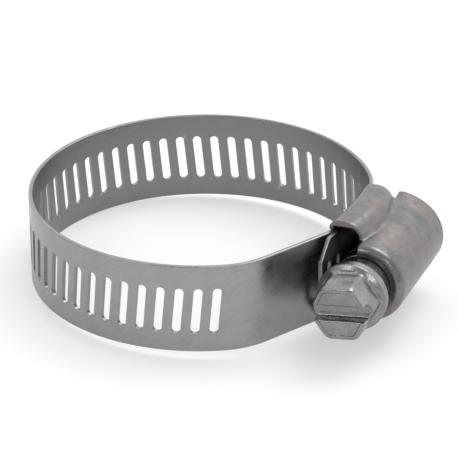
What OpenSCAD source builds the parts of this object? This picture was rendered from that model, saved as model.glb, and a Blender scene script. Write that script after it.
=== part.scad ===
// Worm-drive hose clamp, 12.7 mm perforated band, slotted hex screw.
// Origin: centre of the clamped bore, at the middle of the band's width.
// +Z runs along the bore. The screw lies on the +X side, parallel to Y, with its head towards -Y.
// The band is one spring-steel strip. It is cut here into links at its bending places, so the
// loop can close: each link turns about a line through the middle of the strip.

/* [Band] */
// Width of the strip
band_w = 12.7; // [8:0.1:20]
// Thickness of the strip
band_t = 0.6; // [0.4:0.05:0.9]
// Radius of the round part of the loop, to the middle of the strip
loop_r = 23.6; // [20:0.1:40]
// Distance from slot to slot along the strip, which is also the lead of the worm
pitch = 2.513; // [2:0.001:4]
// Width of a slot
slot_w = 1.2; // [0.8:0.05:1.8]
// Length of a slot, end to end
slot_l = 6.7; // [4:0.1:9]
// Lean of a slot, to match the worm's lead angle, degrees
slot_lean = 5.4; // [2:0.1:9]
// Height of the slots' centre over the middle of the strip
slot_z = -0.3; // [-1:0.05:1]
// Angle on the loop of the first slot after the plain part, degrees
first_slot = -63.6; // [-80:0.1:-50]
// Slots in each link
link_slots = 4; // [2:1:6]
// Gap between two links at their shared pivot line
link_gap = 0.04; // [0.02:0.01:0.1]
// How far the tail stands out past the middle of its seat under the worm, along the strip
tail_out = 10.8; // [8:0.1:20]
// Length of the clipped corners at the tail's tip, along the strip
clip_s = 2; // [0.5:0.1:4]
// Length of the clipped corners across the strip
clip_z = 2.8; // [0.5:0.1:4]
// Slope direction of the straight run from the housing to the loop, degrees from +X
lead_dir = 61.2; // [50:0.1:80]
// Radius of the bend between that straight run and the loop
lead_r = 11; // [6:0.5:16]
// Radius of the bend between the loop and the seat, over two slots of the tail
bend_r = 12.5; // [8:0.5:20]
// Radius of the flat arc on which the strip crosses under the worm, to the strip's outer face
seat_r = 50; // [30:1:100]

/* [Housing] */
// Length of the dome from its front face to its back face
house_l = 17.6; // [12:0.1:22]
// Distance of the dome's front face in front of the seat's middle
house_front = 8.7; // [6:0.1:12]
// Thickness of the sheet
sheet = 0.6; // [0.4:0.05:1]
// Outer radius of the dome
dome_r = 5.6; // [4.5:0.05:7]
// Outer radius of the dome's rolled-in front edge
nose_r = 1.7; // [0.8:0.1:2.5]
// Half length of the shoulders along the strip
shoulder_half = 6.6; // [5:0.1:9]
// Height of the shoulders' outer face over the strip's outer face
shoulder_rise = 3.3; // [2:0.1:4]
// Height of the shoulders' ridge over the middle of the strip
ridge_z = 7.95; // [7:0.05:9]

/* [Screw] */
// Outside radius of the worm
worm_r = 4.0; // [3:0.05:5]
// Depth of the worm's thread
thread_d = 0.9; // [0.5:0.05:1.3]
// Depth of the worm's thread in a slot
bite = 0.45; // [0.2:0.05:0.6]
// Hexagon, across flats at the collar
hex_af = 7.75; // [6:0.01:10]
// Hexagon, across flats at its face
face_af = 7.5; // [6:0.01:10]
// Height of the hexagon over the collar
hex_h = 4.65; // [3:0.05:6]
// Turn of the hexagon and its slot at rest, degrees
hex_turn = -7; // [-30:0.5:30]
// Room between the housing and the collar
collar_gap = 2.9; // [0.5:0.1:4]
// Outside radius of the collar
collar_r = 4.9; // [4.5:0.05:6.5]
// Thickness of the collar
collar_h = 1.4; // [0.8:0.1:2]
// Width of the driver slot
drive_w = 1.5; // [0.8:0.1:2]
// Depth of the driver slot
drive_d = 1.7; // [1:0.1:3]

/* [Hidden] */
band_color = [0.62, 0.63, 0.63];
housing_color = [0.56, 0.52, 0.50];
screw_color = [0.60, 0.57, 0.55];
eps = 0.02;
seam = 0.01;
$fn = 64;

tail_r = seat_r - band_t / 2;
fixed_r = tail_r - band_t - 0.03;
links = 11;
slot_a = pitch / loop_r * 180 / PI;
gap_a = link_gap / loop_r * 180 / PI;

// Angle on the loop of the cut after link i. Cuts lie midway between two slots.
function cut_angle(i) = i == 0 ? loop_end : first_slot - slot_a * (link_slots * i - 0.5);

// The tail leaves the loop at the last cut, bends over two slots, and runs on along the seat's arc.
loop_start = 360 + cut_angle(links);
bend_slots = 2;
bend_a = pitch / bend_r * 180 / PI;
seat_end = loop_start - bend_slots * bend_a;
bend_c = (loop_r - bend_r) * [cos(loop_start), sin(loop_start)];
seat_c = bend_c - (tail_r - bend_r) * [cos(seat_end), sin(seat_end)];
seat_a = pitch / tail_r * 180 / PI;
house_y = seat_c[1];
screw_x = seat_c[0] + seat_r + worm_r - bite;
dome_x = screw_x + 0.3;

// The fixed end leaves the housing on a tight bend, runs straight, and joins the loop by a wider one.
exit_r = 4;
exit_a = -asin(6 / fixed_r);
exit_p = seat_c + fixed_r * [cos(exit_a), sin(exit_a)];
exit_c = exit_p - exit_r * [cos(exit_a), sin(exit_a)];
run_a = lead_dir - 90;
run_u = [cos(lead_dir), sin(lead_dir)];
run_n = [cos(run_a), sin(run_a)];
run_p = exit_c + exit_r * run_n;
run_d = run_p * run_n;
join_q = -sqrt((loop_r - lead_r) ^ 2 - (run_d - lead_r) ^ 2);
join_c = (run_d - lead_r) * run_n + join_q * run_u;
loop_end = atan2(join_c[1], join_c[0]);
run_l = (run_p - join_c) * run_u;
fixed_stop = asin(2 / fixed_r);

// The screw's journals, the worm's thread, and how far past the screw's axis the dome is open.
neck_r = 3.35;
tip_r = 2.6;
open_x = 1;
worm_start = house_y - house_front + sheet + 0.1;
worm_l = house_l - 2 * sheet - 0.2;
root_r = worm_r - thread_d;
crest_w = 0.5;
root_w = 1.25;

// Turn of the worm that puts its thread in the slots.
mid_slot_a = seat_end - (floor(seat_end / seat_a) + 0.5) * seat_a;
mid_slot_y = house_y + tail_r * sin(mid_slot_a) - slot_z * tan(slot_lean);
worm_phase = -360 * (mid_slot_y - worm_start) / pitch;

// A piece of the strip bent about the origin from angle a0 to a1, at radius r to its middle.
module strip_arc(r, a0, a1, t = band_t, w = band_w) {
    rotate([0, 0, a0])
        rotate_extrude(angle = a1 - a0, $fn = 180)
            translate([r - t / 2, -w / 2])
                square([t, w]);
}

// The cutter of one slot, through a strip whose outward side is +X.
module slot_cutter() {
    straight = slot_l - slot_w;
    translate([0, 0, slot_z])
        rotate([slot_lean * -1, 0, 0]) {
            cube([3 * band_t, slot_w, straight], center = true);
            for (s = [-1, 1])
                translate([0, 0, s * straight / 2])
                    rotate([0, 90, 0])
                        cylinder(h = 3 * band_t, d = slot_w, center = true, $fn = 32);
        }
}

module slot_on_loop(k) {
    rotate([0, 0, first_slot - slot_a * k])
        translate([loop_r, 0, 0])
            slot_cutter();
}

// Link i of the loop, from cut i-1 to cut i, with its four slots.
module band_link(i) {
    color(band_color)
        difference() {
            strip_arc(loop_r, cut_angle(i) + gap_a / 2, cut_angle(i - 1) - gap_a / 2);
            for (k = [link_slots * (i - 1) : link_slots * i - 1])
                slot_on_loop(k);
        }
}

module band_tail() {
    tail_stop = -asin(tail_out / tail_r);
    seat_slots = floor((seat_end - tail_stop) / seat_a);
    color(band_color)
        difference() {
            union() {
                // the bend is a hair thinner, so the seam between the two arcs is a clean step
                translate([bend_c[0], bend_c[1], 0])
                    strip_arc(bend_r, seat_end - 0.1, loop_start - gap_a / 2, band_t - seam, band_w - seam);
                translate([seat_c[0], seat_c[1], 0])
                    strip_arc(tail_r, tail_stop, seat_end);
            }
            for (i = [1 : bend_slots])
                translate([bend_c[0], bend_c[1], 0])
                    rotate([0, 0, loop_start - (i - 0.5) * bend_a])
                        translate([bend_r, 0, 0])
                            slot_cutter();
            for (i = [1 : seat_slots])
                translate([seat_c[0], seat_c[1], 0])
                    rotate([0, 0, seat_end - (i - 0.5) * seat_a])
                        translate([tail_r, 0, 0])
                            slot_cutter();
            // the clipped corners of the tail's tip
            for (s = [-1, 1])
                translate([seat_c[0], seat_c[1], 0])
                    rotate([0, 0, tail_stop])
                        translate([tail_r + 2 * band_t, 0, 0])
                            rotate([0, -90, 0])
                                linear_extrude(height = 4 * band_t)
                                    polygon([
                                        [s * (band_w / 2 - clip_z), -1], [s * (band_w / 2 - clip_z), 0],
                                        [s * band_w / 2, clip_s], [s * (band_w / 2 + 1), clip_s],
                                        [s * (band_w / 2 + 1), -1]
                                    ]);
        }
}

module band_fixed_end() {
    color(band_color) {
        translate([seat_c[0], seat_c[1], 0])
            strip_arc(fixed_r, exit_a - eps, fixed_stop);
        translate([exit_c[0], exit_c[1], 0])
            strip_arc(exit_r, run_a, exit_a);
        translate([run_p[0], run_p[1], 0])
            rotate([0, 0, run_a])
                translate([-band_t / 2, -run_l - eps, -band_w / 2])
                    cube([band_t, run_l + 2 * eps, band_w]);
        translate([join_c[0], join_c[1], 0])
            strip_arc(lead_r, loop_end, run_a);
        strip_arc(loop_r, loop_end + gap_a / 2, loop_end + eps + gap_a);
    }
}

shoulder_a = asin(shoulder_half / seat_r);

// One side of the housing's shoulders: a closed outline in height over the strip and z, bent along the seat.
module seat_sweep(points, side) {
    translate([seat_c[0], seat_c[1], 0])
        rotate([0, 0, -shoulder_a])
            rotate_extrude(angle = 2 * shoulder_a, $fn = 360)
                polygon([for (p = points) [seat_r + p[0], p[1] * side]]);
}

module housing() {
    front = house_y - house_front;
    back = front + house_l;
    inner_r = dome_r - sheet;
    lip = -2 * band_t;
    top = ridge_z;
    rim = band_w / 2;
    rise = shoulder_rise;
    step = 0.45;
    // from the fixed end's edge up over the ridge, down a step, and across to the dome
    outline = [
        [lip, rim + 0.03], [lip, rim + 0.4], [lip + 0.25, top - 0.5], [lip + 0.7, top - 0.1],
        [lip + 1, top], [0.7, top], [1.05, top - step], [rise - 1.1, top - step],
        [rise - 0.35, top - 0.85], [rise, top - 1.5], [rise, inner_r + 0.1], [rise - sheet, inner_r + 0.1],
        [rise - sheet, top - 1.65], [rise - 0.85, top - 1.15], [rise - 1.2, top - step - sheet],
        [0.9, top - step - sheet], [0.5, top - sheet], [lip + 1.1, top - sheet], [lip + 0.75, top - 0.85],
        [lip + sheet, rim + 0.4], [lip + sheet, rim + 0.03]
    ];
    color(housing_color) {
        for (s = [-1, 1])
            seat_sweep(outline, s);
        // the dome over the worm
        difference() {
            union() {
                translate([dome_x, front + nose_r, 0])
                    rotate([-90, 0, 0])
                        cylinder(h = house_l - nose_r, r = dome_r);
                translate([dome_x, front + nose_r, 0])
                    rotate([90, 0, 0])
                        rotate_extrude($fn = 96) {
                            square([dome_r - nose_r, nose_r]);
                            intersection() {
                                translate([dome_r - nose_r, 0])
                                    circle(r = nose_r, $fn = 64);
                                square([dome_r, nose_r]);
                            }
                        }
            }
            translate([dome_x, front + nose_r, 0])
                rotate([-90, 0, 0])
                    cylinder(h = house_l - nose_r - sheet, r = inner_r);
            translate([dome_x, front + nose_r + eps, 0])
                rotate([90, 0, 0])
                    rotate_extrude($fn = 96) {
                        square([dome_r - nose_r, nose_r - sheet + eps]);
                        intersection() {
                            translate([dome_r - nose_r, 0])
                                circle(r = nose_r - sheet, $fn = 64);
                            square([dome_r, nose_r]);
                        }
                    }
            // the screw's neck and its tip run through the two ends
            translate([screw_x, front - eps, 0])
                rotate([-90, 0, 0])
                    cylinder(h = 4, r = neck_r + 0.08);
            translate([screw_x, back - 2, 0])
                rotate([-90, 0, 0])
                    cylinder(h = 4, r = tip_r + 0.08);
            // open towards the strip
            translate([dome_x - 20 - open_x, front - 1, -10])
                cube([20, house_l + 2, 20]);
        }
    }
}

// Radius of the worm at angle a round its section: a trapezoid thread, seen end on.
function thread_r(a) =
    let (w = 2 * abs(a) / 360 * pitch)
    w < crest_w ? worm_r : w > root_w ? root_r : worm_r - thread_d * (w - crest_w) / (root_w - crest_w);

module worm_screw() {
    collar_back = house_y - house_front - collar_gap;
    steps = 24;
    turns = worm_l / pitch;
    color(screw_color)
        translate([screw_x, 0, 0])
            rotate([-90, 0, 0]) {
                // worm
                translate([0, 0, worm_start])
                    rotate([0, 0, 180 + worm_phase])
                        linear_extrude(height = worm_l, twist = -360 * turns, slices = ceil(14 * turns), $fn = steps)
                            polygon([for (i = [0 : steps - 1])
                                let (a = 360 * i / steps - 180)
                                thread_r(a) * [cos(a), sin(a)]]);
                // tip in the back end, neck through the front end
                translate([0, 0, worm_start + worm_l - eps])
                    cylinder(h = 1, r = tip_r);
                translate([0, 0, collar_back])
                    cylinder(h = worm_start - collar_back + eps, r = neck_r);
                translate([0, 0, collar_back])
                    cylinder(h = collar_gap - 0.1, r = 4.15);
                // collar with a chamfered front edge
                rotate_extrude($fn = 96)
                    polygon([
                        [0, collar_back], [collar_r - 0.15, collar_back],
                        [collar_r, collar_back - 0.15], [collar_r, collar_back - 0.8],
                        [collar_r - 0.45, collar_back - collar_h], [0, collar_back - collar_h]
                    ]);
                // hexagon with the driver slot
                difference() {
                    translate([0, 0, collar_back - collar_h - hex_h])
                        rotate([0, 0, hex_turn])
                            cylinder(h = hex_h + eps, d1 = face_af / cos(30), d2 = hex_af / cos(30), $fn = 6);
                    translate([0, 0, collar_back - collar_h - hex_h])
                        rotate([0, 0, hex_turn])
                            cube([20, drive_w, 2 * drive_d], center = true);
                }
            }
}

housing();
worm_screw();
band_fixed_end();
band_tail();
band_link(1);  // band_link_01
band_link(2);  // band_link_02
band_link(3);  // band_link_03
band_link(4);  // band_link_04
band_link(5);  // band_link_05
band_link(6);  // band_link_06
band_link(7);  // band_link_07
band_link(8);  // band_link_08
band_link(9);  // band_link_09
band_link(10);  // band_link_10
band_link(11);  // band_link_11
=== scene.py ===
import math

import bpy
import numpy as np
from mathutils import Matrix, Vector


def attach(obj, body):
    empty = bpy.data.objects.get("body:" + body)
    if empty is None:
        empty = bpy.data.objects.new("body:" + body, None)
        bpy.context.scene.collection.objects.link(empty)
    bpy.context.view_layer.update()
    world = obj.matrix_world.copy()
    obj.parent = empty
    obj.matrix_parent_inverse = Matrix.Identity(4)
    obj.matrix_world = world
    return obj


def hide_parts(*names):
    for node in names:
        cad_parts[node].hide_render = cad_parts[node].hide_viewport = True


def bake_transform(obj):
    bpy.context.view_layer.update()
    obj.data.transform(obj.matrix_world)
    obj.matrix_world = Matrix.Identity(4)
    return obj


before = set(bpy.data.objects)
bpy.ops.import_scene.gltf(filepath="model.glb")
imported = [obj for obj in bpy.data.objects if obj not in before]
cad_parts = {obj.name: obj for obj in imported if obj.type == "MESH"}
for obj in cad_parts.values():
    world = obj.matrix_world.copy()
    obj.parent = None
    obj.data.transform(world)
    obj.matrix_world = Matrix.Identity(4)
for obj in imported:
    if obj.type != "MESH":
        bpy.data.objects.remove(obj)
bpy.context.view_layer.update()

MM = 0.001
rad = math.radians

# Sizes in mm, as in the CAD model, apart from NOSE_R, which is 1.7 there.
BAND_W = 12.7
BAND_T = 0.6
LAYER_GAP = 0.03
LOOP_R = 23.6
PITCH = 2.513
SLOT_W = 1.2
SLOT_L = 6.7
SLOT_LEAN = rad(5.4)
SLOT_Z = -0.3
FIRST_SLOT = -63.6
LINK_SLOTS = 4
LINKS = 11
TAIL_OUT = 10.8
CLIP_S = 2.0
CLIP_Z = 2.8
LEAD_DIR = 61.2
LEAD_R = 11.0
BEND_R = 12.5
SEAT_R = 50.0
EXIT_R = 4.0
EXIT_Y = 6.0
FIXED_STOP_Y = 2.0
HOUSE_L = 17.6
HOUSE_FRONT = 8.7
SHEET = 0.6
DOME_R = 5.6
DOME_OUT = 0.3
NOSE_R = 1.1
WORM_R = 4.0
THREAD_D = 0.9
BITE = 0.45
NECK_R = 3.35
TIP_R = 2.6


def polar(radius, degrees):
    return np.array([radius * math.cos(rad(degrees)), radius * math.sin(rad(degrees))])


# ---------------------------------------------------------------- the strip's path
slot_a = math.degrees(PITCH / LOOP_R)
tail_r = SEAT_R - BAND_T / 2
fixed_r = tail_r - BAND_T - LAYER_GAP
loop_start = 360 + FIRST_SLOT - slot_a * (LINK_SLOTS * LINKS - 0.5)
seat_end = loop_start - 2 * math.degrees(PITCH / BEND_R)
bend_c = polar(LOOP_R - BEND_R, loop_start)
seat_c = bend_c - polar(tail_r - BEND_R, seat_end)
tail_stop = -math.degrees(math.asin(TAIL_OUT / tail_r))
house_y = seat_c[1]
screw_x = seat_c[0] + SEAT_R + WORM_R - BITE
dome_x = screw_x + DOME_OUT
exit_a = -math.degrees(math.asin(EXIT_Y / fixed_r))
exit_c = seat_c + polar(fixed_r - EXIT_R, exit_a)
run_a = LEAD_DIR - 90
run_n = polar(1, run_a)
run_u = polar(1, LEAD_DIR)
run_p = exit_c + EXIT_R * run_n
run_d = run_p @ run_n
join_q = -math.sqrt((LOOP_R - LEAD_R) ** 2 - (run_d - LEAD_R) ** 2)
join_c = (run_d - LEAD_R) * run_n + join_q * run_u
loop_end = math.degrees(math.atan2(join_c[1], join_c[0]))
run_l = (run_p - join_c) @ run_u

# Each stretch: centre, radius, start and end angle in degrees; the straight run has no radius.
STRETCHES = [
    (seat_c, fixed_r, math.degrees(math.asin(FIXED_STOP_Y / fixed_r)), exit_a),
    (exit_c, EXIT_R, exit_a, run_a),
    (None, run_l, run_a, run_a),
    (join_c, LEAD_R, run_a, loop_end),
    (np.zeros(2), LOOP_R, loop_end, loop_start - 360),
    (bend_c, BEND_R, loop_start, seat_end),
    (seat_c, tail_r, seat_end, tail_stop),
]


def stretch_length(stretch):
    centre, radius, first, last = stretch
    return radius if centre is None else radius * rad(first - last)


STARTS = np.concatenate([[0], np.cumsum([stretch_length(s) for s in STRETCHES])])


def strip_frame(s):
    """Middle of the strip and its outward normal at distance s along it."""
    i = int(np.clip(np.searchsorted(STARTS, s, side="right") - 1, 0, len(STRETCHES) - 1))
    centre, radius, first, last = STRETCHES[i]
    along = s - STARTS[i]
    if centre is None:
        return run_p - along * run_u, run_n
    normal = polar(1, first - math.degrees(along / radius))
    return centre + radius * normal, normal


loop_s = STARTS[4]
slot_s = loop_s + LOOP_R * rad(loop_end - FIRST_SLOT)
end_s = STARTS[-1]


def cell_s(k):
    """Start of slot k's cell along the strip."""
    return slot_s + (k - 0.5) * PITCH


# ---------------------------------------------------------------- the strip's mesh
EDGE_R = 0.17
LIP_R = 0.07
ARC = 3
Z_FACE = BAND_W / 2 - EDGE_R
# Heights of the mesh's rows; rows LOWER to UPPER run along a slot's straight sides.
Z_ROWS = [-Z_FACE, -5.3, -4.5, -3.9, -3.4, -2.8, -2.0, -1.15, -0.3,
          0.55, 1.4, 2.2, 2.8, 3.3, 3.9, 4.8, Z_FACE]
LOWER, UPPER = 4, 12
SIDE_ARC = rad(50)
TOP_STEPS = 6
RINGS = [0.0, 0.3, 0.65, 1.0]
PLAIN_STEP = 0.5
CLIP_KEEP = 3.3
SHORTEST = 0.01


def clipped(s, z):
    """Height of a point once the corners of the tail's tip are cut off."""
    beyond = s - (end_s - CLIP_S)
    if beyond <= 0 or abs(z) <= CLIP_KEEP:
        return z
    limit = BAND_W / 2 - CLIP_Z * beyond / CLIP_S
    share = (abs(z) - CLIP_KEEP) / (BAND_W / 2 - CLIP_KEEP)
    return math.copysign(CLIP_KEEP + share * (limit - CLIP_KEEP), z)


class Strip:
    """A stretch of the strip as one mesh with true normals.

    Its points are welded by their place along (s), across (z) and through (d) the strip.
    """

    def __init__(self):
        self.keys, self.points, self.normals, self.flat, self.faces = {}, [], [], [], []

    def vertex(self, s, z, d, ns, nz, nd, tag=""):
        key = (round(s, 4), round(z, 4), round(d, 4), tag)
        if key not in self.keys:
            z = clipped(s, z)
            middle, normal = strip_frame(s)
            along = np.array([normal[1], -normal[0]])
            p = middle + d * normal
            n = nd * normal + ns * along
            self.keys[key] = len(self.points)
            self.points.append((p[0] * MM, p[1] * MM, z * MM))
            self.normals.append((n[0], n[1], nz))
            self.flat.append((s, z, d))
        return self.keys[key]

    def quad(self, a, b, c, d):
        """A face of four points, or of three where two of them are welded."""
        corners = []
        for v in (a, b, c, d):
            if v not in corners:
                corners.append(v)
        if len(corners) > 2:
            self.faces.append(corners)

    def both(self, corners):
        """One facet of the outer face and its twin on the inner face."""
        half = BAND_T / 2
        self.quad(*[self.vertex(s, z, half, 0, 0, 1) for s, z in corners])
        self.quad(*[self.vertex(s, z, -half, 0, 0, -1) for s, z in reversed(corners)])

    def wall(self, line, radius, closed=False):
        """The rounded edge that joins the faces along a line of (s, z, outward s, outward z)."""
        half = BAND_T / 2
        profile = []
        for side in (1, -1):
            turns = range(ARC + 1) if side > 0 else range(ARC, -1, -1)
            for i in turns:
                t = math.pi / 2 * i / ARC
                profile.append((radius * math.sin(t), side * (half - radius + radius * math.cos(t)),
                                math.sin(t), side * math.cos(t)))
        count = len(line)
        for j in range(count if closed else count - 1):
            one, two = line[j], line[(j + 1) % count]
            for p, q in zip(profile, profile[1:]):
                corners = []
                for place, bend in ((one, p), (one, q), (two, q), (two, p)):
                    (s, z, ms, mz), (out, d, n_out, n_d) = place, bend
                    corners.append(self.vertex(s + out * ms, z + out * mz, d,
                                               n_out * ms, n_out * mz, n_d))
                self.quad(*corners)

    def rims(self, stops):
        """The two long edges of the strip."""
        for side in (1, -1):
            line = [(s, side * Z_FACE, 0, side) for s in stops]
            self.wall(line if side > 0 else line[::-1], EDGE_R)

    def plain(self, s0, s1):
        """A stretch with no slots."""
        count = max(1, math.ceil((s1 - s0) / PLAIN_STEP))
        stops = np.linspace(s0, s1, count + 1)
        for a, b in zip(stops, stops[1:]):
            for low, high in zip(Z_ROWS, Z_ROWS[1:]):
                self.both([(a, low), (a, high), (b, high), (b, low)])
        self.rims(stops)

    def cell(self, k):
        """One pitch of the strip with slot k in it, in rings from the slot's edge outwards."""
        middle = slot_s + k * PITCH
        left, right = middle - PITCH / 2, middle + PITCH / 2
        radius = SLOT_W / 2
        straight = (SLOT_L - SLOT_W) / 2
        lean = np.array([-math.sin(SLOT_LEAN), math.cos(SLOT_LEAN)])
        side = np.array([lean[1], -lean[0]])

        def slot_point(along, across):
            """A point of the slot's edge, with the direction away from the slot."""
            return np.array([middle, SLOT_Z]) + straight * along * lean, across

        def on_arc(end, angle):
            away = math.sin(angle) * lean * end + math.cos(angle) * side
            return slot_point(end, away)

        outer, inner = [], []
        last = len(Z_ROWS) - 1
        for sign, order in ((1, range(last)), (-1, range(last, 0, -1))):
            for j in order:
                outer.append((right if sign > 0 else left, Z_ROWS[j]))
                if j <= LOWER:
                    point, away = on_arc(-1, SIDE_ARC * (1 - j / LOWER))
                elif j >= UPPER:
                    point, away = on_arc(1, SIDE_ARC * (j - UPPER) / (last - UPPER))
                else:
                    point, away = slot_point(-1 + 2 * (j - LOWER) / (UPPER - LOWER), side)
                if sign < 0:
                    away = away - 2 * (away @ side) * side
                inner.append((point, away))
            for j in range(TOP_STEPS):
                part = j / TOP_STEPS
                run = right + (left - right) * part if sign > 0 else left + (right - left) * part
                outer.append((run, sign * Z_FACE))
                angle = SIDE_ARC + (math.pi - 2 * SIDE_ARC) * part
                inner.append(on_arc(sign, angle if sign > 0 else math.pi - angle))
        count = len(outer)
        edge = radius + LIP_R
        lines = []
        for ring in RINGS:
            line = []
            for (point, away), rim in zip(inner, outer):
                start = point + away * edge
                line.append(tuple(start * (1 - ring) + np.array(rim) * ring))
            lines.append(line)
        for a, b in zip(lines, lines[1:]):
            for j in range(count):
                n = (j + 1) % count
                self.both([a[j], a[n], b[n], b[j]])
        slot_line = [(p[0] + w[0] * edge, p[1] + w[1] * edge, -w[0], -w[1]) for p, w in inner]
        self.wall(slot_line, LIP_R, closed=True)
        self.rims([left + (right - left) * j / TOP_STEPS for j in range(TOP_STEPS + 1)])

    def cap(self, s, direction):
        """The flat end of a piece, at distance s."""
        half = BAND_T / 2
        ring = []
        for zs, ds in ((1, 1), (1, -1), (-1, -1), (-1, 1)):
            turns = range(ARC + 1) if zs * ds > 0 else range(ARC, -1, -1)
            for i in turns:
                t = math.pi / 2 * i / ARC
                ring.append((zs * (Z_FACE + EDGE_R * math.sin(t)),
                             ds * (half - EDGE_R + EDGE_R * math.cos(t))))
        corners = [self.vertex(s, z, d, direction, 0, 0, "cap") for z, d in ring]
        self.faces.append(corners if direction > 0 else corners[::-1])


def new_mesh(name, points, faces, normals, flat=None):
    """A smooth object; flat holds each point's place on the flat strip, for the material."""
    mesh = bpy.data.meshes.new(name)
    mesh.from_pydata(points, [], faces)
    mesh.update()
    mesh.shade_smooth()
    mesh.normals_split_custom_set_from_vertices(normals)
    if flat is not None:
        place = mesh.attributes.new("strip_place", "FLOAT_VECTOR", "POINT")
        place.data.foreach_set("vector", np.array(flat, np.float32).ravel())
    obj = bpy.data.objects.new(name, mesh)
    bpy.context.scene.collection.objects.link(obj)
    return obj


def strip_piece(name, s0, s1, cells=()):
    """The strip from s0 to s1, with slots in the given cells."""
    strip = Strip()
    if cells:
        first_edge, last_edge = cell_s(cells[0]), cell_s(cells[-1] + 1)
        if first_edge - s0 > SHORTEST:
            strip.plain(s0, first_edge)
        for k in cells:
            strip.cell(k)
        if s1 - last_edge > SHORTEST:
            strip.plain(last_edge, s1)
    else:
        strip.plain(s0, s1)
    strip.cap(s0, -1)
    strip.cap(s1, 1)
    return new_mesh(name, strip.points, strip.faces, strip.normals, strip.flat)


# ---------------------------------------------------------------- solids from distance fields
GRADIENT_STEP = 0.004
SNAP_ROUNDS = 3


def smooth_max(a, b, k):
    """The larger of two distances, with the crease between them filled over a width of k."""
    h = np.maximum(k - np.abs(a - b), 0) / k
    return np.maximum(a, b) + h * h * k / 4


def smooth_min(a, b, k):
    return -smooth_max(-a, -b, k)


def round_and(a, b, r):
    """Both distances below zero, with the outside corner rounded to radius r."""
    u, v = a + r, b + r
    outside = np.sqrt(np.maximum(u, 0) ** 2 + np.maximum(v, 0) ** 2)
    return outside + np.minimum(np.maximum(u, v), 0) - r


def gradient(field, p):
    g = np.empty_like(p)
    for axis in range(3):
        step = np.zeros(3)
        step[axis] = GRADIENT_STEP
        g[:, axis] = (field(*(p + step).T) - field(*(p - step).T)) / (2 * GRADIENT_STEP)
    return g


def solid(name, field, low, high, step):
    """Mesh of the surface where field is zero, by surface nets, with the field's own normals."""
    axes = [np.arange(a, b + step, step) for a, b in zip(low, high)]
    values = field(*np.meshgrid(*axes, indexing="ij")).astype(np.float32)
    inside = values < 0
    shape = np.array(values.shape) - 1
    corners = [(i, j, k) for i in (0, 1) for j in (0, 1) for k in (0, 1)]

    def corner(array, c):
        return array[c[0]:c[0] + shape[0], c[1]:c[1] + shape[1], c[2]:c[2] + shape[2]]

    count = sum(corner(inside, c).astype(np.int8) for c in corners)
    active = (count > 0) & (count < 8)
    cells = np.argwhere(active)
    index = np.full(shape, -1, np.int64)
    index[active] = np.arange(len(cells))
    total = np.zeros((len(cells), 3))
    hits = np.zeros(len(cells))
    for a in corners:
        for axis in range(3):
            if a[axis]:
                continue
            b = list(a)
            b[axis] = 1
            va = values[tuple((cells + a).T)]
            vb = values[tuple((cells + b).T)]
            cross = (va < 0) != (vb < 0)
            t = np.where(cross, va / np.where(cross, va - vb, 1), 0)
            point = cells + np.array(a, float)
            point[:, axis] += t
            total += point * cross[:, None]
            hits += cross
    origin = np.array([a[0] for a in axes])
    points = origin + total / hits[:, None] * step
    for _ in range(SNAP_ROUNDS):
        g = gradient(field, points)
        f = field(*points.T)
        move = -f[:, None] * g / np.maximum((g * g).sum(1), 0.2)[:, None]
        limit = step * 0.5
        points += np.clip(move, -limit, limit)
    faces = []
    for axis in range(3):
        u, v = (axis + 1) % 3, (axis + 2) % 3
        first = [slice(None)] * 3
        second = [slice(None)] * 3
        first[axis], second[axis] = slice(0, -1), slice(1, None)
        one, two = inside[tuple(first)], inside[tuple(second)]
        edge = np.argwhere(one != two)
        above = (edge[:, u] > 0) & (edge[:, v] > 0)
        edge = edge[above & (edge[:, u] < shape[u]) & (edge[:, v] < shape[v])]
        out = one[tuple(edge.T)]
        quads = []
        for du, dv in ((-1, -1), (0, -1), (0, 0), (-1, 0)):
            cell = edge.copy()
            cell[:, u] += du
            cell[:, v] += dv
            quads.append(index[tuple(cell.T)])
        quads = np.stack(quads, 1)
        quads[~out] = quads[~out][:, ::-1]
        faces.append(quads)
    faces = np.concatenate(faces)
    normals = gradient(field, points)
    normals /= np.linalg.norm(normals, axis=1)[:, None]
    return new_mesh(name, points * MM, faces.tolist(), normals)


# ---------------------------------------------------------------- housing
front = house_y - HOUSE_FRONT
back = front + HOUSE_L
DEEP = -9.0
# The dome: the swelling at its back edge, and the walls at its ends.
PEAK_H, PEAK_L, PEAK_W, PEAK_IN = 0.32, 1.5, 1.6, 0.5
BACK_R = 0.25
DOME_CUT = 1.0
END_WALL = 3
NECK_GAP, TIP_GAP = 0.12, 0.1
# The shoulders: where they end along the screw, and how they wrap the strip.
NEAR_END, FAR_END = -6.05, 7.15
NEAR_X, FAR_X, END_SLOPE = 22, 24, 0.05
WRAP, WRAP_SLOPE = 1.26, 0.02
OUT, BOW = 0.2, 38
LIFT_H, LIFT_L, LIFT_W, LIFT_X = 0.1, 0.5, 0.8, 1.5
TOP_Z, CROWN, CROWN_X, FALL, FALL_L = 7.83, 0.05, 1.6, 0.045, 8
OUTER_R, INNER_R, CORNER_R = 2.1, 1.15, 1.7
ROOM_Z = 6.95
FOLD_Z, FOLD_STEP, FOLD_X, FOLD_W = 4.95, 1.45, 1.6, 0.12
# The crease between shoulder and dome is wider towards the far end.
CREASE_MIN, CREASE_MAX, CREASE_RISE, CREASE_Y = 0.5, 0.9, 0.1, 3


def dome_solid(x, y, z):
    """The dome's outer form: a round barrel with its front edge rolled in."""
    r = np.hypot(x - dome_x, z)
    peak = PEAK_H * np.exp(-((y - back) / PEAK_L) ** 2 - ((x - dome_x + PEAK_IN) / PEAK_W) ** 2)
    side = r - DOME_R - peak
    d = round_and(side, front - y, NOSE_R)
    return round_and(d, y - back, BACK_R)


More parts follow.
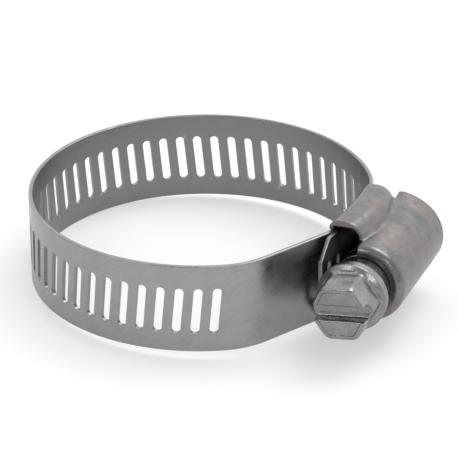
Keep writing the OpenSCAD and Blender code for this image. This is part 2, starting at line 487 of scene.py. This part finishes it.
def shoulder_solid(x, y, z):
    """The outer form of the shoulders that wrap the strip's edges."""
    az = np.abs(z)
    seat = seat_c[0] + np.sqrt(np.maximum(SEAT_R ** 2 - (y - house_y) ** 2, 0))
    inner = seat - WRAP + WRAP_SLOPE * (y - house_y)
    outer = dome_x + OUT - (y - house_y) ** 2 / BOW
    lift = LIFT_H * np.exp(-((y - NEAR_END) / LIFT_L) ** 2 - ((x - inner - LIFT_X) / LIFT_W) ** 2)
    crown = CROWN * (x - inner - CROWN_X) ** 2
    top = az - TOP_Z - lift + crown + FALL * np.clip(y, 0, FALL_L)
    form = round_and(top, x - outer, OUTER_R)
    form = round_and(form, inner - x, INNER_R)
    return smooth_max(form, round_and(inner - x, y - FAR_END, CORNER_R), 0.15)


def housing_field(x, y, z):
    """The dome and the two shoulders as bent sheet, open where the strip and the screw pass."""
    barrel = dome_solid(x, y, z)
    hollow = barrel + SHEET
    dome = smooth_max(np.maximum(barrel, -hollow), dome_x - DOME_CUT - x, 0.15)
    radius = np.hypot(x - screw_x, z)
    dome = smooth_max(dome, np.where(y < front + END_WALL, NECK_R + NECK_GAP - radius, DEEP), 0.2)
    dome = smooth_max(dome, np.where(y > back - END_WALL, TIP_R + TIP_GAP - radius, DEEP), 0.2)
    form = shoulder_solid(x, y, z)
    az = np.abs(z)
    room = np.maximum(form + SHEET, az - ROOM_Z)
    wings = smooth_max(form, -room, 0.08)
    wings = smooth_max(wings, NEAR_END + END_SLOPE * (x - NEAR_X) - y, 0.16)
    wings = round_and(wings, y - FAR_END - END_SLOPE * (x - FAR_X), 0.2)
    fold = FOLD_Z + FOLD_STEP / (1 + np.exp((x - dome_x + FOLD_X) / FOLD_W))
    wings = smooth_max(wings, fold - az, 0.16)
    wings = smooth_max(wings, -hollow, 0.1)
    crease = np.clip(CREASE_MIN + CREASE_RISE * (y - CREASE_Y), CREASE_MIN, CREASE_MAX)
    return smooth_min(dome, wings, crease)


# ---------------------------------------------------------------- screw
# The head is fitted on its own here, so these sizes differ a little from the CAD's.
# The drive slot is the largest difference: about 2.1 mm wide here, and 1.5 mm in the CAD.
COLLAR_GAP = 2.35
COLLAR_H = 1.95
COLLAR_R, COLLAR_TAPER = 4.88, 0.07
CONE_H, CONE_SLOPE, CONE_LENGTH = 0.49, 1.43, 1.745
BOSS_R, BOSS_L = 4.13, 2.2
HEX_H = 4.63
HEX_AF, FACE_AF = 7.62, 7.5
HEX_TURN = rad(-7)
# The hexagon's corners are cut to a cone: its radius at CUT_Y from the face, and its slope.
CUT_R, CUT_Y, CUT_SLOPE, CUT_LENGTH = 4.22, 0.2, 0.6, 1.2
RECESS_RIM, RECESS_D = 0.62, 0.14
DRIVE_D, DRIVE_HALF, DRIVE_TAPER = 1.55, 1.13, 0.13
CREST_HALF, FLANK = 0.56, 0.92
END_GAP = 0.1
TIP_L = 0.9
collar_back = front - COLLAR_GAP
collar_front = collar_back - COLLAR_H
face_y = collar_front - HEX_H
worm_start = front + SHEET + END_GAP
worm_end = back - SHEET - END_GAP
seat_step = math.degrees(PITCH / tail_r)
mid_slot_a = seat_end - (math.floor(seat_end / seat_step) + 0.5) * seat_step
mid_slot_y = house_y + tail_r * math.sin(rad(mid_slot_a)) - SLOT_Z * math.tan(SLOT_LEAN)


def worm_field(x, y, z):
    """The thread, whose crests lie in the strip's slots at rest, with the neck and the tip."""
    u = x - screw_x
    r = np.hypot(u, z)
    turn = np.arctan2(z, -u) / (2 * math.pi)
    offset = (y - mid_slot_y) / PITCH + turn
    offset = np.abs(offset - np.round(offset)) * PITCH
    side = (offset - CREST_HALF) * FLANK
    crest = round_and(r - WORM_R, side, 0.12)
    root = r - (WORM_R - THREAD_D)
    worm = smooth_min(crest, root, 0.35)
    worm = smooth_max(worm, worm_start - y, 0.25)
    worm = smooth_max(worm, y - worm_end, 0.25)
    tip = smooth_max(r - TIP_R, y - worm_end - TIP_L, 0.2)
    tip = np.maximum(tip, worm_end - 1 - y)
    neck = np.maximum(r - NECK_R, np.maximum(collar_back - y - 0.2, y - worm_start - 0.2))
    return smooth_min(smooth_min(worm, tip, 0.15), neck, 0.15)


def head_field(x, y, z):
    """The collar, the boss behind it, and the hexagon with its recessed face and drive slot."""
    u = x - screw_x
    r = np.hypot(u, z)
    taper = COLLAR_TAPER * (y - collar_front)
    collar = round_and(r - COLLAR_R + taper, y - collar_back, 0.15)
    cone = (r - COLLAR_R + (collar_front + CONE_H - y) * CONE_SLOPE) / CONE_LENGTH
    collar = smooth_max(collar, cone, 0.1)
    collar = smooth_max(collar, collar_front - y, 0.12)
    ends = np.maximum(collar_back - 0.3 - y, y - collar_back - BOSS_L)
    boss = np.maximum(r - BOSS_R, ends)
    c, s = math.cos(HEX_TURN), math.sin(HEX_TURN)
    a, b = c * u - s * z, s * u + c * z
    depth = (y - face_y) / HEX_H
    apothem = (FACE_AF + (HEX_AF - FACE_AF) * np.clip(depth, 0, 1)) / 2
    flats = np.abs(b) - apothem
    for angle in (60, 120):
        ca, sa = math.cos(rad(angle)), math.sin(rad(angle))
        flats = smooth_max(flats, np.abs(-sa * a + ca * b) - apothem, 0.45)
    hexagon = round_and(flats, face_y - y, 0.3)
    corners = (r - CUT_R + (face_y + CUT_Y - y) * CUT_SLOPE) / CUT_LENGTH
    hexagon = smooth_max(hexagon, corners, 0.35)
    hexagon = smooth_max(hexagon, y - collar_front - 0.4, 0.1)
    recess = smooth_max(flats + RECESS_RIM, y - face_y - RECESS_D, 0.05)
    hexagon = smooth_max(hexagon, -recess, 0.06)
    level = y - face_y
    half = DRIVE_HALF - DRIVE_TAPER * np.clip(level, -0.5, DRIVE_D)
    groove = smooth_max((np.abs(b) - half) * 0.99, level - DRIVE_D, 0.35)
    hexagon = smooth_max(hexagon, -groove, 0.3)
    head = smooth_min(hexagon, collar, 0.35)
    return smooth_min(head, boss, 0.2)


def screw_field(x, y, z):
    return smooth_min(worm_field(x, y, z), head_field(x, y, z), 0.1)


# ---------------------------------------------------------------- materials
class Nodes:
    """A material with a Principled shader, and short calls for the nodes around it."""

    def __init__(self, name, tint, metallic=1.0):
        self.material = bpy.data.materials.new(name)
        self.material.use_nodes = True
        self.tree = self.material.node_tree
        self.shader = self.tree.nodes["Principled BSDF"]
        self.shader.inputs["Metallic"].default_value = metallic
        self.shader.inputs["Base Color"].default_value = (*tint, 1)

    def node(self, kind, inputs=(), **settings):
        """A new node, with values or links for its inputs, and its own settings."""
        node = self.tree.nodes.new(kind)
        for key, value in settings.items():
            setattr(node, key, value)
        for key, value in dict(inputs).items():
            self.put(node.inputs[key], value)
        return node

    def put(self, socket, value):
        if isinstance(value, bpy.types.NodeSocket):
            self.tree.links.new(value, socket)
        else:
            socket.default_value = value

    def place(self, attribute=None):
        """Position in mm, on the flat strip or on the object."""
        if attribute:
            return self.node("ShaderNodeAttribute", attribute_name=attribute).outputs["Vector"]
        source = self.node("ShaderNodeTexCoord").outputs["Object"]
        return self.node("ShaderNodeVectorMath", {0: source, "Scale": 1 / MM},
                         operation="SCALE").outputs[0]

    def mapped(self, source, scale, turn):
        turned = self.node("ShaderNodeMapping", {"Vector": source, "Rotation": turn})
        return self.node("ShaderNodeMapping", {
            "Vector": turned.outputs[0], "Scale": scale}).outputs[0]

    def noise(self, source, scale, detail, rough=0.5):
        return self.node("ShaderNodeTexNoise", {
            "Vector": source, "Scale": scale, "Detail": detail,
            "Roughness": rough}).outputs["Fac"]

    def ranged(self, value, low, high, to_low, to_high):
        return self.node("ShaderNodeMapRange", {
            "Value": value, "From Min": low, "From Max": high,
            "To Min": to_low, "To Max": to_high}).outputs["Result"]

    def math(self, operation, a, b):
        return self.node("ShaderNodeMath", {0: a, 1: b}, operation=operation).outputs[0]

    def mix(self, share, a, b, blend="MIX"):
        node = self.node("ShaderNodeMix", data_type="RGBA", blend_type=blend)
        self.put(node.inputs[0], share)
        self.put(node.inputs[6], a if isinstance(a, bpy.types.NodeSocket) else (*a, 1))
        self.put(node.inputs[7], b if isinstance(b, bpy.types.NodeSocket) else (*b, 1))
        return node.outputs[2]

    def mix_value(self, share, a, b):
        return self.node("ShaderNodeMix", {0: share, 2: a, 3: b}, data_type="FLOAT").outputs[0]

    def bump(self, height, distance, under=None):
        node = self.node("ShaderNodeBump", {"Height": height, "Distance": distance * MM,
                                            "Strength": 1.0})
        if under is not None:
            self.put(node.inputs["Normal"], under)
        return node.outputs[0]


# Painted shade: the strip's inner face is multiplied by this grey.
INNER_FACE_SHADE = (0.76, 0.76, 0.76)
MARKS = 0.5
# Edges are painted this much lighter than the tint: real edge wear and painted highlight.
EDGE_HIGHLIGHT_GAIN = 1.35
EDGE_GLOSS = 0.7
DRAWN_RELIEF, FINE_RELIEF = 0.012, 0.01


def steel(name, tint, dull, strip=False, rough=(0.26, 0.42), dents=0.03, edge=0.5):
    """Stainless steel, cloudy between tint and dull, with drawn marks, and edges with real wear
    painted lighter as a painted highlight.

    The marks show in colour, roughness and relief. The strip's inner face is painted darker, as
    painted shade.
    """
    n = Nodes(name, tint)
    place = n.place("strip_place" if strip else None)
    clouds = n.noise(place, 0.35, 4, 0.6)
    colour = n.mix(n.ranged(clouds, 0.38, 0.62, 0, 1), dull, tint)
    if strip:
        depth = n.node("ShaderNodeSeparateXYZ", {0: place}).outputs["Z"]
        # Painted shade: the inner face (depth below zero) is made darker.
        colour = n.mix(n.ranged(depth, -0.2, 0.2, 1, 0), colour, INNER_FACE_SHADE, "MULTIPLY")
    turn = (0, 0, rad(34 if strip else 12))
    stretch = (0.35, 9, 1) if strip else (5, 0.5, 5)
    drawn = n.noise(n.mapped(place, stretch, turn), 1.0, 5, 0.65)
    fine = n.noise(place, 7.0, 5, 0.7)
    streak = n.ranged(drawn, 0.3, 0.7, 1 - MARKS * 0.22, 1 + MARKS * 0.16)
    grey = n.node("ShaderNodeCombineColor", {0: streak, 1: streak, 2: streak}).outputs[0]
    colour = n.mix(1.0, colour, grey, "MULTIPLY")
    # Real edge wear and painted highlight: pointed edges get a lighter colour and less roughness;
    # edge sets how strong.
    wear = n.node("ShaderNodeNewGeometry").outputs["Pointiness"]
    patchy = n.ranged(fine, 0.35, 0.6, 0.5, 1)
    wear_and_highlight = n.math("MULTIPLY", n.ranged(wear, 0.55, 0.63, 0, edge), patchy)
    worn_edge_highlight = tuple(c * EDGE_HIGHLIGHT_GAIN for c in tint)
    n.put(n.shader.inputs["Base Color"], n.mix(wear_and_highlight, colour, worn_edge_highlight))
    mid = (rough[0] + rough[1]) / 2
    base = n.ranged(clouds, 0.3, 0.7, rough[0], rough[1])
    lined = n.math("ADD", base, n.ranged(drawn, 0.3, 0.7, -0.06, 0.06))
    n.put(n.shader.inputs["Roughness"], n.mix_value(wear_and_highlight, lined, mid * EDGE_GLOSS))
    relief = n.bump(drawn, DRAWN_RELIEF * MARKS)
    relief = n.bump(fine, FINE_RELIEF, under=relief)
    if dents:
        relief = n.bump(n.noise(place, 0.45, 1.5, 0.4), dents * 6, under=relief)
    n.put(n.shader.inputs["Normal"], relief)
    return n.material


band_steel = steel("band_steel", (0.335, 0.335, 0.333), (0.30, 0.30, 0.30),
                   strip=True, dents=0)
housing_steel = steel("housing_steel", (0.235, 0.207, 0.196), (0.16, 0.162, 0.166),
                      rough=(0.26, 0.4), edge=0)
screw_steel = steel("screw_steel", (0.29, 0.278, 0.28), (0.22, 0.215, 0.214),
                    rough=(0.18, 0.32), dents=0.02, edge=0.8)


# ---------------------------------------------------------------- pieces
def finish_piece(obj, material):
    obj.data.materials.append(material)
    return obj


def link(i):
    """Name of the CAD node, and of the body, of link i."""
    return f"band_link_{i:02d}"


def at_strip(s):
    """The strip's middle at distance s, in metres."""
    middle, _ = strip_frame(s)
    return (middle[0] * MM, middle[1] * MM, 0)


ROOT = "housing_and_fixed_end"
OPEN_PIVOT = 5
LEAD_REACH = 3.0
HALF_LINK = LINK_SLOTS // 2
LAST_CELL = LINK_SLOTS * LINKS
lead_end = loop_s - LEAD_REACH
mids = {i: cell_s(LINK_SLOTS * (i - 1) + HALF_LINK) for i in range(1, LINKS + 1)}
pivots = {i: cell_s(LINK_SLOTS * i) for i in range(1, LINKS)}

lead = finish_piece(strip_piece("strip_lead", 0, lead_end), band_steel)
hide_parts("band_fixed_end")
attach(lead, ROOT)

first_turn = finish_piece(strip_piece("strip_flex_00", lead_end, mids[1], range(HALF_LINK)),
                          band_steel)
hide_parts(link(1))
at_strip(lead_end)
at_strip(mids[1])
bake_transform(first_turn)

for i in range(1, LINKS):
    first = LINK_SLOTS * (i - 1) + HALF_LINK
    cells = list(range(first, first + LINK_SLOTS))
    if i == OPEN_PIVOT:
        before = strip_piece(f"strip_flex_{i:02d}a", mids[i], pivots[i], cells[:HALF_LINK])
        after = strip_piece(f"strip_flex_{i:02d}b", pivots[i], mids[i + 1], cells[HALF_LINK:])
        for piece, owner in ((before, i), (after, i + 1)):
            finish_piece(piece, band_steel)
            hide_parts(link(owner))
            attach(piece, link(owner))
        continue
    piece = strip_piece(f"strip_flex_{i:02d}", mids[i], mids[i + 1], cells)
    finish_piece(piece, band_steel)
    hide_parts(link(i), link(i + 1))
    at_strip(mids[i])
    at_strip(mids[i + 1])
    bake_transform(piece)

tail_s = cell_s(LAST_CELL + 1)
first = LINK_SLOTS * (LINKS - 1) + HALF_LINK
last_turn = strip_piece("strip_flex_11", mids[LINKS], tail_s, range(first, LAST_CELL + 1))
finish_piece(last_turn, band_steel)
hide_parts(link(LINKS))
at_strip(tail_s)
at_strip(mids[LINKS])
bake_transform(last_turn)

seat_slots = math.floor((seat_end - tail_stop) / seat_step)
tail_cells = range(LAST_CELL + 1, LAST_CELL + 2 + seat_slots)
tail = finish_piece(strip_piece("strip_tail", tail_s, end_s, tail_cells), band_steel)
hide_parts("band_tail")
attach(tail, "band_tail")

# The grid's spacing in mm, and the screw's as a share of it.
DETAIL = 0.16
SCREW_DETAIL = 0.85
housing = solid("housing_shell", housing_field, (20.4, front - 0.5, -8.6),
                (dome_x + DOME_R + 0.6, back + 0.6, 8.6), DETAIL)
finish_piece(housing, housing_steel)
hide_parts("housing")
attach(housing, ROOT)

screw = solid("slotted_hex_worm", screw_field, (screw_x - 5.5, face_y - 0.5, -5.5),
              (screw_x + 5.5, worm_end + 1.4, 5.5), DETAIL * SCREW_DETAIL)
finish_piece(screw, screw_steel)
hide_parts("worm_screw")
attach(screw, "worm_screw")


# ---------------------------------------------------------------- floor, light, camera
# The clamp lies on the housing's ridge and on the band's rim opposite, so the floor is tilted.
FLOOR_SIZE = 4.0
FLOOR_GAP = 0.02
RIDGE_Z = 7.9
REST_X = 22.5
PAPER_DARK, PAPER_LIGHT = (0.52, 0.52, 0.52), (0.54, 0.54, 0.54)


def add_floor(material):
    rim_x = -(LOOP_R + BAND_T / 2)
    tilt = math.atan2(RIDGE_Z - BAND_W / 2, REST_X - rim_x)
    mesh = bpy.data.meshes.new("floor")
    h = FLOOR_SIZE / 2
    mesh.from_pydata([(-h, -h, 0), (h, -h, 0), (h, h, 0), (-h, h, 0)], [], [(0, 1, 2, 3)])
    mesh.materials.append(material)
    obj = bpy.data.objects.new("floor", mesh)
    obj.location = (REST_X * MM, 0, -(RIDGE_Z + FLOOR_GAP) * MM)
    obj.rotation_euler = (0, tilt, 0)
    bpy.context.scene.collection.objects.link(obj)


paper = Nodes("paper_white", PAPER_DARK, metallic=0.0)
grain = paper.noise(paper.place(), 0.02, 2)
paper.put(paper.shader.inputs["Base Color"],
          paper.mix(paper.ranged(grain, 0.3, 0.7, 0, 1), PAPER_DARK, PAPER_LIGHT))
paper.shader.inputs["Roughness"].default_value = 0.9
paper.shader.inputs["Emission Color"].default_value = (1, 1, 1, 1)
paper.shader.inputs["Emission Strength"].default_value = 0.4
paper.shader.inputs["Specular IOR Level"].default_value = 0
add_floor(paper.material)


def lamp(name, location, aim, size, power):
    """A square soft lamp: place, aim and side in metres, power in watts."""
    data = bpy.data.lights.new(name, "AREA")
    data.shape = "RECTANGLE"
    data.size = data.size_y = size
    data.energy = power
    obj = bpy.data.objects.new(name, data)
    obj.location = location
    obj.rotation_euler = (Vector(aim) - Vector(location)).to_track_quat("-Z", "Y").to_euler()
    bpy.context.scene.collection.objects.link(obj)


lamp("key", (0.15, 0.26, 0.50), (0, 0, 0), 0.3, 1.1)
lamp("left", (-0.21, -0.41, 0.38), (0.02, 0, 0), 0.16, 0.35)
lamp("right", (0.29, -0.47, 0.25), (0.02, 0, 0), 0.14, 0.35)

# The world is plain white, brighter behind the clamp (+Y) than in front.
world = bpy.data.worlds.new("studio")
world.use_nodes = True
sky = world.node_tree
direction = sky.nodes.new("ShaderNodeSeparateXYZ")
sky.links.new(sky.nodes.new("ShaderNodeTexCoord").outputs["Generated"], direction.inputs[0])
strength = sky.nodes.new("ShaderNodeMapRange")
sky.links.new(direction.outputs["Y"], strength.inputs["Value"])
for socket, value in (("From Min", -1), ("From Max", 0.6), ("To Min", 0.4), ("To Max", 1.3)):
    strength.inputs[socket].default_value = value
sky.links.new(strength.outputs["Result"], sky.nodes["Background"].inputs["Strength"])
sky.nodes["Background"].inputs["Color"].default_value = (1, 1, 1, 1)
bpy.context.scene.world = world
bpy.context.scene.view_settings.view_transform = "Standard"

CAMERA_AT = Vector((0.14236, -0.34370, 0.18916))
CAMERA_AIM = Vector((0.00362, 0.00092, 0.0))
CAMERA_ROLL = rad(-0.51)
SENSOR, LENS = 36.0, 236.11441
CLIP_NEAR, CLIP_FAR = 0.01, 10
camera_data = bpy.data.cameras.new("camera")
camera_data.sensor_width = SENSOR
camera_data.lens = LENS
camera_data.clip_start, camera_data.clip_end = CLIP_NEAR, CLIP_FAR
camera = bpy.data.objects.new("camera", camera_data)
look = (CAMERA_AIM - CAMERA_AT).to_track_quat("-Z", "Y").to_matrix()
rolled = look @ Matrix.Rotation(CAMERA_ROLL, 3, "Z")
camera.matrix_world = Matrix.Translation(CAMERA_AT) @ rolled.to_4x4()
bpy.context.scene.collection.objects.link(camera)
bpy.context.scene.camera = camera
